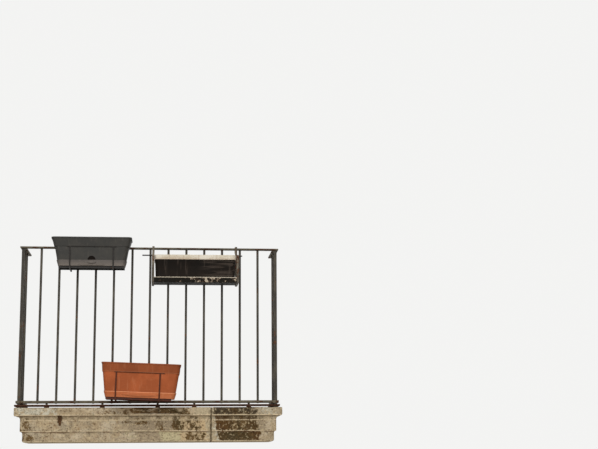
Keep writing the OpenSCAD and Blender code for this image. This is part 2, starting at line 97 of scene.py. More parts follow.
class Surface:
    """A procedural material under construction, with its patterns on Object coordinates."""

    def __init__(self, name: str, base: Colour, roughness: float, specular: float) -> None:
        """Starts a material.

        Args:
            name: The material's name.
            base: The colour under its coats.
            roughness: Roughness where no pattern sets it.
            specular: The shader's specular level.
        """
        self.colour: Paint = base
        self.material = bpy.data.materials.new(name)
        self.material.use_nodes = True
        self.tree = self.material.node_tree
        self.shader = self.tree.nodes["Principled BSDF"]
        self.shader.inputs["Roughness"].default_value = roughness
        self.shader.inputs["Specular IOR Level"].default_value = specular
        self.place = self.node("TexCoord").outputs["Object"]
        self.parts = self.node("SeparateXYZ", Vector=self.place)

    def feed(self, socket: Socket, value: Paint | Source) -> None:
        """Links a socket to another, or sets its value.

        Args:
            socket: The input to feed.
            value: An output socket, a number or a colour.
        """
        if isinstance(value, Socket):
            self.tree.links.new(value, socket)
        elif isinstance(value, tuple):
            socket.default_value = (*value, 1.0)
        else:
            socket.default_value = value

    def node(self, kind: str, **inputs: Paint | Source) -> bpy.types.Node:
        """Adds a node.

        Args:
            kind: The node's type, without the prefix of all shader nodes.
            **inputs: What feeds its inputs, by their names.

        Returns:
            The node.
        """
        node = self.tree.nodes.new(f"ShaderNode{kind}")
        for name, value in inputs.items():
            self.feed(node.inputs[name], value)
        return node

    def math(self, operation: str, first: Source, second: Source = 0.0) -> Socket:
        """Adds a Math node.

        Args:
            operation: The node's operation, such as "ADD".
            first: The first value.
            second: The second value.

        Returns:
            The result's socket.
        """
        node = self.node("Math")
        node.operation = operation
        self.feed(node.inputs[0], first)
        self.feed(node.inputs[1], second)
        return node.outputs[0]

    def total(self, *terms: Source) -> Socket:
        """Adds places, patterns and numbers together."""
        return reduce(partial(self.math, "ADD"), terms)

    def both(self, *masks: Source) -> Socket:
        """Multiplies masks, patterns and numbers together."""
        return reduce(partial(self.math, "MULTIPLY"), masks)

    def swayed(self, pattern: Source, width: float) -> Socket:
        """Turns a pattern round 0.5 into a shift to either side, over a width in metres."""
        return self.both(self.math("SUBTRACT", pattern, 0.5), width)

    def along(self, axis: Axis) -> Socket:
        """Gives the place along one axis of the part, in metres."""
        return self.parts.outputs[axis.value]

    def away_from(self, axis: Axis, place: float) -> Socket:
        """Gives the distance along an axis from a place, below 0 on its lower side."""
        return self.math("SUBTRACT", self.along(axis), place)

    def stretched(self, stretch: Stretch, shift: float) -> Socket:
        """Gives coordinates that are scaled by axis, so that a pattern is drawn out.

        Args:
            stretch: Scale along each axis, under 1 where the pattern is drawn out.
            shift: Moves the pattern, so that two finishes differ.

        Returns:
            The coordinates' socket.
        """
        node = self.node("Mapping", Vector=self.place)
        node.inputs["Location"].default_value = (shift, shift, shift)
        node.inputs["Scale"].default_value = stretch
        return node.outputs[0]

    def cloud(self, size: float, detail: float = 4.0, rough: float = 0.55,
              stretch: Stretch = (1, 1, 1), shift: float = 0.0) -> Socket:
        """Adds noise round 0.5, mostly from 0.25 to 0.75, in patches of a size and in finer layers."""
        return self.node("TexNoise", Vector=self.stretched(stretch, shift), Scale=1 / size,
                         Detail=detail, Roughness=rough).outputs["Fac"]

    def specks(self, size: float, middle: float, edge: float, shift: float = 0.0) -> Socket:
        """Adds a round speck to each cell of a size, full to middle and gone at edge, as shares of it."""
        cells = self.node("TexVoronoi", Vector=self.stretched((1, 1, 1), shift), Scale=1 / size)
        return self.rise(cells.outputs["Distance"], edge, middle)

    def rise(self, value: Source, low: float, high: float) -> Socket:
        """Gives 0 below low and 1 above high, with a smooth step between them.

        Args:
            value: The value to test.
            low: Where the step starts.
            high: Where the step ends. It may be lower than low, and the step then falls.

        Returns:
            The step's socket.
        """
        node = self.node("MapRange", Value=value, **{"From Min": low, "From Max": high})
        node.interpolation_type = "SMOOTHSTEP"
        return node.outputs["Result"]

    def between(self, value: Source, low: float, high: float, soft: float) -> Socket:
        """Gives 1 between two places and 0 outside them, with edges that are soft on both sides."""
        return self.both(self.rise(value, low - soft, low + soft), self.rise(value, high + soft, high - soft))

    def patches(self, size: float, low: float, high: float, strength: float = 1.0,
                **pattern: float | Stretch) -> Socket:
        """Gives patches of a strength, where noise of a size and a pattern rises from low to high."""
        return self.both(self.rise(self.cloud(size, **pattern), low, high), strength)

    def ramp(self, value: Source, shades: tuple[Colour, ...]) -> Socket:
        """Gives a colour that runs evenly through several shades.

        Args:
            value: 0 where the first shade lies and 1 where the last one does.
            shades: The shades.

        Returns:
            The colour's socket.
        """
        node = self.node("ValToRGB")
        stops = node.color_ramp.elements
        stops[0].color = (*shades[0], 1)
        stops[1].color = (*shades[-1], 1)
        for i, shade in enumerate(shades[1:-1], 1):
            stops.new(i / (len(shades) - 1)).color = (*shade, 1)
        self.feed(node.inputs[0], value)
        return node.outputs["Color"]

    def lay(self, base: Paint, over: Paint, mask: Source, mixing: Mixing = Mixing.OVER) -> Socket:
        """Lays a colour over another.

        Args:
            base: The colour below.
            over: The colour on top.
            mask: Where and how strongly it lies on top.
            mixing: How the two are mixed.

        Returns:
            The mixed colour's socket.
        """
        node = self.node("Mix", Factor=mask)
        node.data_type = "RGBA"
        node.blend_type = mixing.value
        colours = [socket for socket in node.inputs if socket.type == "RGBA"]
        self.feed(colours[0], base)
        self.feed(colours[1], over)
        return next(socket for socket in node.outputs if socket.type == "RGBA")

    def coat(self, over: Paint, *masks: Source, mixing: Mixing = Mixing.OVER) -> None:
        """Lays a coat of colour over what the surface has, as strongly as the masks multiply to."""
        self.colour = self.lay(self.colour, over, self.both(*masks), mixing)

    def facing_up(self) -> Socket:
        """Gives 1 where the surface faces up, as dirt and dust lie on it, and 0 where it is steep."""
        split = self.node("SeparateXYZ", Vector=self.node("NewGeometry").outputs["Normal"])
        return self.rise(split.outputs["Z"], 0.2, 0.9)

    def relief(self, height: Source, depth: float) -> None:
        """Raises the surface by a height pattern.

        Args:
            height: The pattern, from 0 to 1.
            depth: Height in metres where the pattern is 1.
        """
        node = self.node("Bump", Height=height, Distance=depth)
        bumped = self.shader.inputs["Normal"]
        if bumped.is_linked:
            self.feed(node.inputs["Normal"], bumped.links[0].from_socket)
        self.feed(bumped, node.outputs[0])

    def finish(self, roughness: Source | None = None) -> Material:
        """Sets the colour and the roughness.

        Args:
            roughness: A roughness pattern, or nothing to keep the plain value.

        Returns:
            The finished material.
        """
        self.feed(self.shader.inputs["Base Color"], self.colour)
        if roughness is not None:
            self.feed(self.shader.inputs["Roughness"], roughness)
        return self.material


class Pattern(Enum):
    """How a stain is broken up, by the stretch of its pattern along each axis."""

    BLOTS = (1.0, 1.0, 1.0)
    RUNS = (1.0, 1.0, 0.2)
    LEVELS = (0.45, 1.0, 1.7)


@dataclass(frozen=True)
class Stain:
    """A stretch of the slab's edge that water, soot or lichen has coloured, and the share it covers."""

    left: float
    right: float
    low: float
    high: float
    shades: tuple[Colour, ...]
    cover: float
    pattern: Pattern = Pattern.BLOTS


@dataclass(frozen=True)
class StoneFinish:
    """Weathered limestone: mottled and stained, with painted shade lines and painted light in the moulding,
    and pale arrises, part wear and part painted highlight.
    """

    deck: float
    front: float
    middle: float
    post_x: float
    rail_y: float
    fascia: float = 0.052
    frieze: float = 0.096
    hollow: float = 0.022
    stain_depth: float = 0.06
    stain_contrast: float = 2.6
    lean: float = 0.24
    run_down: Stretch = (1, 1, 0.3)
    soiled: tuple[float, float] = (0.415, 0.675)
    crack_x: float = -0.338
    crack_half: float = 0.001
    rust_x: float = -0.547
    rust_half: float = 0.020
    rust_length: float = 0.060
    rust_taper: float = 0.13
    pale: Colour = srgb(186, 171, 145)
    tan: Colour = srgb(166, 147, 117)
    grey: Colour = srgb(146, 132, 108)
    brown: Colour = srgb(128, 101, 68)
    # Pale colour of the arrises, part wear and part painted highlight, also laid as painted light in the
    # hollow.
    pale_wear_and_highlight: Colour = srgb(208, 188, 154)
    # Brown of the painted shade lines in the moulding.
    shade_line: Colour = srgb(98, 56, 24)
    soot: Colour = srgb(42, 31, 14)
    fleck: Colour = srgb(200, 180, 142)
    pit: Colour = srgb(96, 72, 44)
    grain_dark: Colour = srgb(120, 106, 86)
    grain_light: Colour = srgb(84, 68, 38)
    dirt: Colour = srgb(132, 118, 98)
    rust: Colour = srgb(96, 62, 38)
    wet_rust: Colour = srgb(66, 36, 12)

    @property
    def under(self) -> float:
        """Height of the fascia's lower edge."""
        return self.deck - self.fascia

    @property
    def step(self) -> float:
        """Height of the frieze's lower edge."""
        return self.under - self.frieze

    def stains(self) -> tuple[Stain, ...]:
        """Lists the stains, in the order in which they are laid.

        Returns:
            The stains of the fascia, the frieze and the set-back band below it.
        """
        top = self.deck
        under = self.under
        step = self.step
        foot = -self.deck
        olive = srgb(54, 40, 8)
        russet = srgb(70, 42, 4)
        umber = srgb(92, 69, 38)
        bark = srgb(62, 42, 8)
        lime = srgb(190, 184, 164)
        lichen = srgb(182, 170, 134)
        dust = srgb(150, 134, 109)
        sand = srgb(172, 157, 128)
        ochre = srgb(184, 160, 123)
        soot = self.soot
        runs = Pattern.RUNS
        levels = Pattern.LEVELS
        return (
            Stain(-0.850, -0.560, under, top, (lime,), 0.52),
            Stain(-0.330, -0.050, under, top, (umber,), 0.36),
            Stain(-0.115, 0.190, under + 0.012, top, (umber, bark, umber, soot, umber, olive), 0.66, levels),
            Stain(0.160, 0.262, under, top, (olive, umber), 0.50),
            Stain(0.280, 0.402, under, top, (sand,), 0.95),
            Stain(0.404, 0.655, under, top, (soot, soot, bark, soot, soot), 1.12),
            Stain(0.568, 0.590, under, top, (sand,), 0.75, runs),
            Stain(0.645, 0.850, under, top, (dust, lime, dust), 0.60),
            Stain(-0.860, -0.745, foot, under, (umber,), 0.50),
            Stain(-0.190, -0.125, 0.010, 0.050, (umber,), 0.62),
            Stain(-0.150, 0.135, step, under, (dust,), 0.86),
            Stain(-0.110, -0.020, 0.000, 0.045, (umber,), 0.52),
            Stain(0.020, 0.080, step, under, (umber,), 0.42, runs),
            Stain(0.155, 0.340, step, under, (ochre,), 0.86),
            Stain(0.128, 0.172, step, under, (umber, olive), 0.96, runs),
            Stain(0.165, 0.310, step, under, (bark, bark, olive), 0.44),
            Stain(0.330, 0.378, foot, under, (sand,), 0.95),
            Stain(0.372, 0.405, foot, under, (lime,), 0.62),
            Stain(0.404, 0.662, step, under, (russet, russet, bark, umber, olive, umber, bark, bark), 1.00),
            Stain(0.660, 0.720, step, under, (dust,), 0.62),
            Stain(-0.200, -0.090, foot, step, (lichen,), 0.34),
            Stain(-0.115, 0.060, foot, step, (dust,), 0.80),
            Stain(0.040, 0.165, foot, step, (lichen,), 0.80),
            Stain(0.140, 0.330, foot, step, (ochre,), 0.70),
            Stain(0.185, 0.318, foot, step, (umber, bark, bark), 0.56),
            Stain(0.404, 0.658, foot + 0.006, step, (bark, olive, olive, bark, olive, bark, russet), 1.12),
        )

    def near_front(self, s: Surface) -> Socket:
        """Gives 1 on the slab's front and 0 further in, where its sides and back stay clear of stains."""
        return s.rise(s.along(Axis.OUT), self.front + self.stain_depth + 0.04, self.front + self.stain_depth)

    def stained(self, s: Surface, stain: Stain, across: Source, up: Source, broken: Source) -> None:
        """Lays a stain. Its sides are as ragged as the pattern that breaks it up.

        Args:
            s: The material under construction.
            stain: The stain.
            across: The place across the slab, with a ragged edge added.
            up: The height, with a ragged edge added.
            broken: The pattern that breaks it up.
        """
        area = s.both(s.between(across, stain.left, stain.right, 0.026),
                      s.between(up, stain.low, stain.high, 0.004))
        share = s.total(s.both(broken, self.stain_contrast), stain.cover - self.stain_contrast / 2)
        filled = s.rise(s.both(area, share), 0.34, 0.58)
        shade = s.ramp(s.rise(across, stain.left, stain.right), stain.shades)
        s.coat(shade, filled, self.near_front(s), 0.94)

    def mottled(self, s: Surface) -> None:
        """Lays the stone's own colours, in patches and in faint level beds.

        Args:
            s: The material under construction.
        """
        s.coat(self.pale, s.patches(0.10, 0.40, 0.64, detail=7, rough=0.65))
        s.coat(self.grey, s.patches(0.06, 0.48, 0.64, 0.7, detail=6, shift=7.7))
        s.coat(self.brown, s.patches(0.04, 0.54, 0.68, 0.65, detail=7, rough=0.7, shift=11.3))
        s.coat(self.brown, s.patches(0.024, 0.52, 0.66, 0.4, detail=6, rough=0.7, stretch=(0.2, 0.2, 1.6),
                                     shift=16.0))

    def painted_light_shade_and_wear(self, s: Surface, height: Source) -> None:
        """Lays painted shade as brown lines in the moulding, painted light in the hollow, and pale arrises,
        part wear and part painted highlight.

        Args:
            s: The material under construction.
            height: The height, with a ragged edge added.
        """
        under = self.under
        step = self.step
        hollow_foot = under - self.hollow
        weather = s.rise(s.along(Axis.OUT), -0.003, -0.008)
        gaps = s.both(s.patches(0.035, 0.36, 0.56, detail=5, stretch=self.run_down, shift=2.2), weather)
        worn = s.both(s.patches(0.045, 0.32, 0.46, detail=6, rough=0.7, stretch=self.run_down, shift=14.2),
                      weather)
        soiled = s.both(s.between(s.away_from(Axis.ACROSS, self.middle), *self.soiled, 0.02), 0.8)
        # Painted light: pale colour laid in the lower hollow, against its shade.
        painted_hollow_light = s.both(s.between(height, hollow_foot, under - self.hollow * 0.2, 0.003),
                     weather, s.math("SUBTRACT", 1.0, soiled))
        s.coat(self.pale_wear_and_highlight, painted_hollow_light, s.rise(gaps, 1.3, 0.2), 0.9)
        # Brown lines of painted shade under the fascia and along the step.
        lines = ((under - self.hollow * 0.15, under, 0.6), (step - 0.005, step, 0.7))
        for low, high, strength in lines:
            s.coat(self.shade_line, s.between(height, low, high, 0.003), gaps, strength)
        # Pale lines along the arrises, partly wear and partly painted highlight.
        arrises = ((under, under + 0.007), (hollow_foot - 0.007, hollow_foot - 0.001),
                   (step, step + 0.006), (-self.deck, 0.009 - self.deck))
        for low, high in arrises:
            s.coat(self.pale_wear_and_highlight, s.between(height, low, high, 0.002), worn, 0.92)

    def rusted(self, s: Surface, across: Source, up: Source) -> None:
        """Lays the rust that has run down from the fascia's lower edge, narrower as it goes.

        Args:
            s: The material under construction.
            across: The place across the slab.
            up: The height.
        """
        waver = s.swayed(s.cloud(0.02, detail=6, shift=6.6), 0.024)
        away = s.math("ABSOLUTE", s.total(s.math("SUBTRACT", across, self.rust_x), waver))
        narrower = s.both(s.math("SUBTRACT", self.under, up), self.rust_taper)
        s.coat(self.wet_rust, s.rise(s.total(away, narrower), self.rust_half, self.rust_half - 0.008),
               s.between(up, self.under - self.rust_length, self.under + 0.003, 0.003),
               self.near_front(s), 0.95)

    def grimy(self, s: Surface) -> None:
        """Darkens the trodden top with dirt, and lays rust on it beside the sill bars.

        Args:
            s: The material under construction.
        """
        dirt = s.patches(0.12, 0.36, 0.62, 0.85, detail=8, rough=0.68, shift=31.0)
        s.coat(self.dirt, s.facing_up(), dirt, mixing=Mixing.DARKEN)
        far = s.math("ABSOLUTE", s.away_from(Axis.ACROSS, self.middle))
        beside = s.math("MAXIMUM", s.rise(far, self.post_x - 0.075, self.post_x - 0.015),
                        s.rise(s.along(Axis.OUT), self.rail_y + 0.075, self.rail_y + 0.015))
        rust = s.patches(0.05, 0.44, 0.60, 0.55, detail=7, rough=0.7, shift=37.0)
        s.coat(self.rust, s.facing_up(), beside, rust)

    def material(self) -> Material:
        """Builds the material.

        Returns:
            The finished material.
        """
        s = Surface("weathered_stone", self.tan, roughness=0.9, specular=0.15)
        across = s.away_from(Axis.ACROSS, self.middle)
        up = s.along(Axis.UP)
        speckle = s.cloud(0.010, detail=6, rough=0.75, shift=3.1)
        ragged = s.swayed(s.cloud(0.04, detail=8, rough=0.68, shift=5.0), 0.15)
        place = s.total(across, ragged, s.both(s.away_from(Axis.UP, self.deck), self.lean))
        height = s.total(up, s.swayed(speckle, 0.014))
        broken = {pattern: s.cloud(0.034, detail=8, rough=0.75, stretch=pattern.value, shift=20.6)
                  for pattern in Pattern}
        self.mottled(s)
        for stain in self.stains():
            self.stained(s, stain, place, height, broken[stain.pattern])
        self.painted_light_shade_and_wear(s, height)
        crack = s.between(s.total(across, s.both(ragged, 0.1)), self.crack_x - self.crack_half,
                          self.crack_x + self.crack_half, self.crack_half)
        s.coat(self.soot, crack, s.rise(up, self.under - 0.01, self.under + 0.01), 0.7)
        flecks = s.cloud(0.016, detail=6, rough=0.7, shift=23.0)
        s.coat(self.fleck, s.rise(flecks, 0.55, 0.62), 0.6)
        s.coat(self.pit, s.rise(flecks, 0.43, 0.35), 0.75)
        self.rusted(s, across, up)
        s.coat(self.grain_dark, s.rise(speckle, 0.52, 0.64), 0.8, mixing=Mixing.DARKEN)
        s.coat(self.grain_light, s.rise(speckle, 0.46, 0.34), 0.8, mixing=Mixing.LIGHTEN)
        self.grimy(s)
        s.relief(speckle, depth=0.004)
        s.relief(s.cloud(0.03, detail=6, shift=1.7), depth=0.006)
        return s.finish(s.rise(speckle, -1.2, 1.1))


@dataclass(frozen=True)
class MortarFinish:
    """Old lime mortar that has crumbled to a dark winding gap down its middle."""

    middle: float
    light: Colour = srgb(176, 158, 126)
    brown: Colour = srgb(128, 106, 76)
    dark: Colour = srgb(66, 48, 28)
    half_gap: float = 0.0013

    def material(self) -> Material:
        """Builds the material.

        Returns:
            The finished material.
        """
        s = Surface("old_mortar", self.light, roughness=0.95, specular=0.2)
        grain = s.cloud(0.006, detail=6, rough=0.7)
        winding = s.swayed(s.cloud(0.03, detail=5, shift=2.6), 0.018)
        gap = s.between(s.total(s.along(Axis.ACROSS), winding),
                        self.middle - self.half_gap, self.middle + self.half_gap, 0.001)
        s.coat(self.brown, s.rise(grain, 0.45, 0.62))
        s.coat(self.dark, gap, s.rise(grain, 0.30, 0.44))
        s.relief(s.math("SUBTRACT", grain, gap), depth=0.003)
        return s.finish()


@dataclass(frozen=True)
class IronFinish:
    """Old paint on wrought iron, with dust where it faces up and rust that grows in patches."""

    name: str
    paint: Colour
    worn: Colour
    rust_light: Colour = srgb(92, 58, 38)
    rust_dark: Colour = srgb(48, 29, 20)
    dust: Colour = srgb(120, 108, 90)
    rusted: float = 0.35
    dusty: float = 0.5
    shift: float = 0.0

    def material(self) -> Material:
        """Builds the material.

        Returns:
            The finished material.
        """
        s = Surface(self.name, self.paint, roughness=0.6, specular=0.15)
        fine = s.cloud(0.006, detail=5, rough=0.7, shift=self.shift + 4.0)
        s.coat(self.worn, s.patches(0.03, 0.42, 0.66, 0.8, detail=5, stretch=(1, 1, 0.25),
                                    shift=self.shift + 8.0))
        rust = s.lay(self.rust_dark, self.rust_light, s.rise(fine, 0.38, 0.66))
        spread = s.total(s.cloud(0.05, detail=7, rough=0.65, shift=self.shift), s.swayed(fine, 0.25))
        rust_from = 0.72 - 0.36 * self.rusted
        rusting = s.rise(spread, rust_from - 0.03, rust_from + 0.05)
        s.coat(rust, rusting)
        s.coat(self.dust, s.facing_up(), s.rise(fine, 0.3, 0.62), self.dusty)
        s.relief(fine, depth=0.0012)
        s.relief(rusting, depth=0.0006)
        return s.finish(s.total(0.52, s.both(rusting, 0.35)))


@dataclass(frozen=True)
class KerbFinish:
    """The rack's front bar: near-black, partly its paint and partly painted shade, with a painted highlight
    along its top edge, flaking to rust towards the right.
    """

    box: tuple[Vector, Vector]
    flaking: tuple[float, float] = (0.50, 0.84)
    # Near-black: the bar's dark paint, darkened further as painted shade on its face.
    paint: Colour = srgb(24, 22, 18)
    edge: Colour = srgb(200, 188, 168)
    flaked: Colour = srgb(168, 156, 136)
    rust: Colour = srgb(84, 58, 42)

    def material(self) -> Material:
        """Builds the material.

        Returns:
            The finished material.
        """
        s = Surface("flaking_kerb_shade_and_highlight", self.paint, roughness=0.75, specular=0.05)
        low, high = self.box
        fine = s.cloud(0.010, detail=7, rough=0.75, shift=51.0)
        across = s.along(Axis.ACROSS)
        start, end = (low.x + share * (high.x - low.x) for share in self.flaking)
        zone = s.math("MAXIMUM", s.between(across, start, end, 0.05),
                      s.rise(across, high.x - 0.020, high.x - 0.008))
        flake = s.total(s.cloud(0.024, detail=7, rough=0.7, shift=47.0), s.both(zone, 0.10))
        s.coat(self.rust, s.rise(flake, 0.56, 0.64), 0.7)
        s.coat(self.flaked, s.rise(s.total(flake, s.both(fine, 0.5)), 0.86, 0.92))
        # Painted highlight along the top edge, broken by fine noise.
        s.coat(self.edge, s.rise(s.along(Axis.UP), high.z - 0.006, high.z - 0.002),
               s.rise(fine, 0.36, 0.50), 0.85)
        s.relief(fine, depth=0.001)
        return s.finish()


@dataclass(frozen=True)
class Rim:
    """A band of painted shade under a moulding's lip, with a painted highlight at its foot. It may hang out
    of level.
    """

    middle: float
    foot: float
    tilt_deg: float
    shade: Colour = srgb(214, 214, 208)
    # Colour of the painted highlight at the band's foot.
    edge: Colour = srgb(186, 122, 84)
    highlight_cover: float = 0.3

    def lay_on(self, s: Surface) -> None:
        """Lays the band of painted shade and its edge of painted highlight.

        Args:
            s: The material under construction.
        """
        slope = math.tan(math.radians(self.tilt_deg))
        level = s.total(s.along(Axis.UP), s.both(s.away_from(Axis.ACROSS, self.middle), slope))
        band = s.rise(level, self.foot - 0.001, self.foot + 0.001)
        edge = s.between(level, self.foot - 0.001, self.foot + 0.003, 0.001)
        # Painted shade over the band, then a painted highlight at its foot.
        s.coat(self.shade, band, mixing=Mixing.DARKEN)
        s.coat(self.edge, edge, self.highlight_cover)


@dataclass(frozen=True)
class PlasticFinish:
    """Matt moulded plastic that the sun has faded, with dust on its lower part and rain streaks."""

    name: str
    fresh: Colour
    faded: Colour
    dust: Colour
    streak: Colour
    dusty: tuple[float, float]
    streaks: float = 0.35
    shift: float = 0.0
    roughness: float = 0.62
    specular: float = 0.2
    specks: float = 0.0
    lined_from: float | None = None
    rim: Rim | None = None

    def material(self) -> Material:
        """Builds the material.

        Returns:
            The finished material.
        """
        s = Surface(self.name, self.fresh, self.roughness, self.specular)
        fading = s.cloud(0.09, detail=5, shift=self.shift)
        grain = s.cloud(0.0035, rough=0.7, shift=self.shift + 2.0)
        scuffs = s.cloud(0.05, detail=7, rough=0.7, stretch=(0.35, 1, 1), shift=self.shift + 9.0)
        runs = s.patches(0.016, 0.55, 0.68, self.streaks, detail=5, stretch=(1, 1, 0.08),
                         shift=self.shift + 5.0)
        dust_from, dust_to = self.dusty
        low = s.rise(s.total(s.along(Axis.UP), s.swayed(fading, 0.04)), dust_to, dust_from)
        s.coat(self.faded, s.rise(fading, 0.38, 0.66))
        s.coat(self.dust, low, s.rise(grain, 0.2, 0.7), 0.75)
        s.coat(self.streak, runs)
        s.coat(self.dust, s.rise(scuffs, 0.56, 0.7), 0.35)
        s.coat(self.dust, s.facing_up(), 0.45)
        if self.specks:
            s.coat(self.dust, s.specks(0.013, middle=0.14, edge=0.26, shift=self.shift), self.specks)
        if self.lined_from is not None:
            levels = s.patches(0.008, 0.46, 0.60, 0.5, stretch=(0.05, 1, 1), shift=self.shift + 7.0)
            right = s.rise(s.along(Axis.ACROSS), self.lined_from, self.lined_from + 0.12)
            s.coat(self.streak, levels, right)
        # The rim's band of painted shade and its painted highlight.
        if self.rim:
            self.rim.lay_on(s)
        s.relief(grain, depth=0.0005)
        s.relief(scuffs, depth=0.0006)
        return s.finish(s.total(self.roughness - 0.08, s.both(fading, 0.3)))


@dataclass(frozen=True)
class SoilFinish:
    """Dry potting soil with pale crumbs and bits of bark, darkened as painted shade where it does not face
    up.
    """

    dark: Colour = srgb(44, 32, 24)
    light: Colour = srgb(98, 76, 56)
    chip: Colour = srgb(152, 124, 92)
    side_shade: Colour = srgb(20, 14, 10)

    def material(self) -> Material:
        """Builds the material.

        Returns:
            The finished material.
        """
        s = Surface("potting_soil", self.dark, roughness=0.97, specular=0.15)
        grain = s.cloud(0.008, detail=7, rough=0.75)
        s.coat(self.light, s.rise(grain, 0.42, 0.66))
        s.coat(self.chip, s.specks(0.011, middle=0.12, edge=0.2), s.rise(grain, 0.5, 0.6))
        # Painted shade: dark wherever the soil does not face up.
        s.coat(self.side_shade, s.math("SUBTRACT", 1.0, s.facing_up()))
        s.relief(grain, depth=0.005)
        return s.finish()


@dataclass(frozen=True)
class LeadFinish:
    """Dull lead, white with age in patches."""

    dull: Colour = srgb(112, 114, 116)
    white: Colour = srgb(168, 168, 164)

    def material(self) -> Material:
        """Builds the material.

        Returns:
            The finished material.
        """
        s = Surface("old_lead", self.dull, roughness=0.6, specular=0.4)
        grain = s.cloud(0.008, detail=5)
        s.coat(self.white, s.rise(grain, 0.45, 0.65))
        s.relief(grain, depth=0.0015)
        return s.finish()


def middle_of(node: str) -> Vector:
    """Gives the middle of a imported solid's box."""
    return sum(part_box(node), Vector()) / 2


def heights(node: str, topped_by: str | None = None) -> tuple[float, float]:
    """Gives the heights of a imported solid's foot and of its top, or of the top of another."""
    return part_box(node)[0].z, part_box(topped_by or node)[1].z


def dress(material: Material, *nodes: str) -> None:
    """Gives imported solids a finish.

    Args:
        material: The finish.
        nodes: Names of the solids.
    """
    for name in nodes:
        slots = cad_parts[name].data.materials
        slots.clear()
        slots.append(material)
        LOG.info("%s: %s", name, material.name)


def put_in_scene(name: str, data: bpy.types.ID) -> bpy.types.Object:
    """Makes data an object of the scene.

    Args:
        name: The object's name.
        data: A mesh, a lamp or a camera.

    Returns:
        The object, at the origin.
    """
    thing = bpy.data.objects.new(name, data)
    bpy.context.scene.collection.objects.link(thing)
    return thing


def merged_copy(node: str) -> Mesh:
    """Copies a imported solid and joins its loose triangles.

    Args:
        node: The solid's name.

    Returns:
        A closed mesh with outward faces.
    """
    bm = bmesh.new()
    bm.from_mesh(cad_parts[node].data)
    bmesh.ops.remove_doubles(bm, verts=bm.verts, dist=MERGE_WITHIN)
    return bm


def new_piece(bm: Mesh, name: str, material: Material, smooth: bool = True) -> bpy.types.Object:
    """Makes a mesh an object of the scene and reports it.

    Args:
        bm: The mesh, which is freed.
        name: The object's name.
        material: Its finish.
        smooth: Whether its faces are shaded smooth.

    Returns:
        The object, at the origin.
    """
    mesh = bpy.data.meshes.new(name)
    for face in bm.faces:
        face.smooth = smooth
    bm.to_mesh(mesh)
    bm.free()
    mesh.materials.append(material)
    LOG.info("%s: %d faces", name, len(mesh.polygons))
    return put_in_scene(name, mesh)


def remeshed(bm: Mesh, voxel: float) -> Mesh:
    """Rebuilds a closed mesh from even small faces.

    Args:
        bm: The mesh, which is freed.
        voxel: Size of a face, in metres.

    Returns:
        The new mesh.
    """
    mesh = bpy.data.meshes.new("remesh")
    bm.to_mesh(mesh)
    bm.free()
    carrier = put_in_scene("remesh", mesh)
    modifier = carrier.modifiers.new("voxels", "REMESH")
    modifier.mode = "VOXEL"
    modifier.voxel_size = voxel
    graph = bpy.context.evaluated_depsgraph_get()
    fine = bmesh.new()
    fine.from_mesh(carrier.evaluated_get(graph).to_mesh())
    bpy.data.objects.remove(carrier)
    bpy.data.meshes.remove(mesh)
    fine.normal_update()
    return fine


def evened(bm: Mesh, points: list[bmesh.types.BMVert], times: int) -> None:
    """Moves points of a mesh towards their neighbours a number of times, which rounds its arrises."""
    for _ in range(times):
        bmesh.ops.smooth_vert(bm, verts=points, factor=0.5, use_axis_x=True, use_axis_y=True, use_axis_z=True)


def cloud_at(place: Vector, size: float, layers: int = 4, shift: float = 0.0) -> float:
    """Gives the noise at a place, mostly from -1 to 1, in patches of a size and in finer layers."""
    return noise.fractal((place + Vector((shift, shift, shift))) / size, 0.8, 2.0, layers)


@dataclass
class StoneSlab:
    """The slab: two stones whose arrises are worn and chipped, with the mortar between them."""

    voxel: float = 0.005
    wall_keep: float = 0.012
    socket_keep: float = 0.03
    rounding: int = 5
    chipping: int = 22
    pit_size: float = 0.02
    pit_depth: float = 0.0022
    pits_on_top: float = 0.15
    wear: float = 0.0006
    wear_on_top: float = 0.2
    stones: tuple[str, str] = ("slab_left_stone", "slab_right_stone")

    def worn(self, bm: Mesh, sockets: list[Vector]) -> None:
        """Rounds and chips the arrises, and pits the faces.

        Args:
            bm: The stone's mesh, from even small faces.
            sockets: Places of the corner posts' sockets, round which the stone stays whole.
        """
        def free(v: bmesh.types.BMVert) -> bool:
            """Says whether weather reaches a point of the stone."""
            near = any(math.dist(v.co.xy, s.xy) < self.socket_keep for s in sockets)
            return v.co.y < -self.wall_keep and not near
        loose = [v for v in bm.verts if free(v)]
        evened(bm, loose, 1)
        evened(bm, [v for v in loose if cloud_at(v.co, 0.09) > -0.15], self.rounding)
        evened(bm, [v for v in loose if cloud_at(v.co, 0.055, shift=5) > 0.45], self.chipping)
        bm.normal_update()
        top = max(v.co.z for v in bm.verts)
        for v in loose:
            on_top = v.co.z > top - 0.002
            pit = max(0.0, cloud_at(v.co, self.pit_size, 5) - 0.1) * self.pit_depth
            wear = (cloud_at(v.co, 0.12, 3, shift=9) + 1) * self.wear
            if on_top:
                pit *= self.pits_on_top
                wear *= self.wear_on_top
            v.co -= v.normal * (pit + wear)

    def build(self, stone: Material, mortar: Material) -> None:
        """Makes both stones and dresses the joint.

        Args:
            stone: Finish of the stones.
            mortar: Finish of the joint.
        """
        sockets = [middle_of("corner_post_left"), middle_of("corner_post_right")]
        for node in self.stones:
            bm = remeshed(merged_copy(node), self.voxel)
            self.worn(bm, sockets)
            piece = new_piece(bm, f"{node}_worn", stone)
            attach(piece, ROOT)
            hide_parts(node)
        dress(mortar, "slab_mortar_joint")


